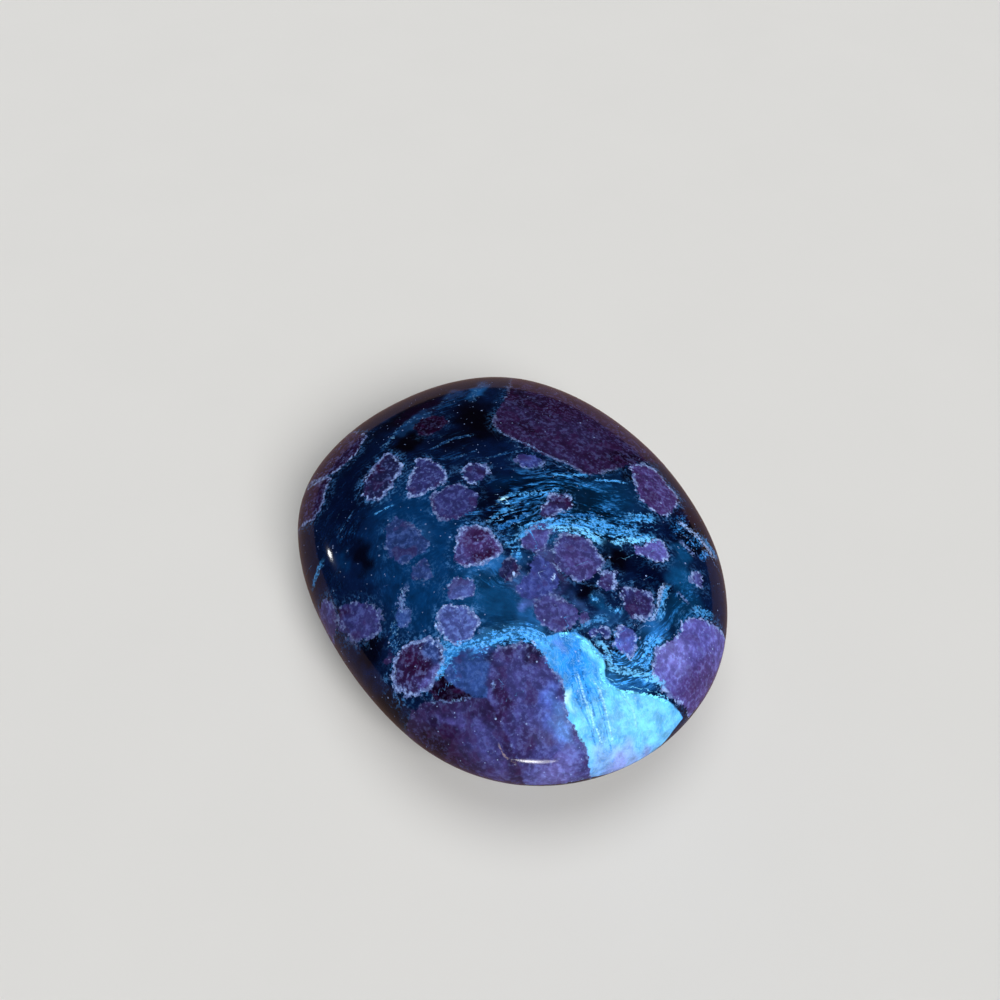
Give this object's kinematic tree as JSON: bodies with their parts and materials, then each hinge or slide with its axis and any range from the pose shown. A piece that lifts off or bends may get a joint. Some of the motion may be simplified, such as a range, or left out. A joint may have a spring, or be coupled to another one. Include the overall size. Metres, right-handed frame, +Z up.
{
  "type": "polished palm stone",
  "caption": "Flattened oval palm stone of dark fibrous rock with plum-red garnets, polished all round, resting on a small flat spot.",
  "frame": {"origin": "under the middle of the stone, on the surface it rests on: the middle of the bounding box's bottom", "axes": "+X along the stone's longest way, +Y across it, +Z up through its thickness"},
  "size_m": [0.0692, 0.0566, 0.0238],
  "materials": {
    "garnet_rock": "high polish: blue-black fibrous rock with plum garnets in pale lavender rims and a pale blue vein"
  },
  "bodies": {
    "root": {"palm_stone": "garnet_rock"}
  },
  "joints": []
}
